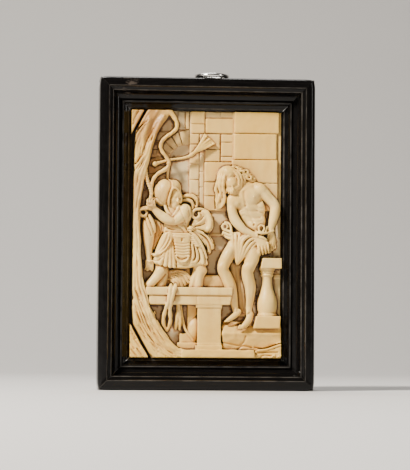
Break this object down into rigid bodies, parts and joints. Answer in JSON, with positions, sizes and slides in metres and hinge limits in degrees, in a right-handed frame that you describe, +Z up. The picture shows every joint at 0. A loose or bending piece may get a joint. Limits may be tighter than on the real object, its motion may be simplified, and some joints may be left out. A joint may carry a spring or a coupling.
{
  "type": "carved ivory plaque",
  "caption": "Upright carved relief plaque in a blackened moulded wooden frame, with a small metal hanging ring on top.",
  "frame": {"origin": "middle of the frame's underside, and of the frame's depth", "axes": "+Z up, -Y out of the carved front, +X to the right for a person facing the carving"},
  "size_m": [0.108, 0.022, 0.1595],
  "materials": {
    "ebonised_wood": "semi-gloss black",
    "backboard_wood": "matt, stained dark",
    "ivory": "satin ivory, browned in the recesses",
    "silver": "polished"
  },
  "bodies": {
    "plaque": {"frame_rail_bottom": "ebonised_wood", "frame_rail_top": "ebonised_wood", "frame_stile_left": "ebonised_wood", "frame_stile_right": "ebonised_wood", "backboard": "backboard_wood", "ivory_relief": "ivory", "ivory_corner_upper_left": "ivory", "ivory_corner_lower_left": "ivory", "staple": "silver"},
    "ring": {"hanging_ring": "silver"}
  },
  "joints": [
    {"name": "ring_swing", "type": "hinge", "parent": "plaque", "child": "ring", "pos_m": [0.0024, 0.0065, 0.1573], "axis": [-1, 0, 0], "range_deg": [0, 180]}
  ]
}
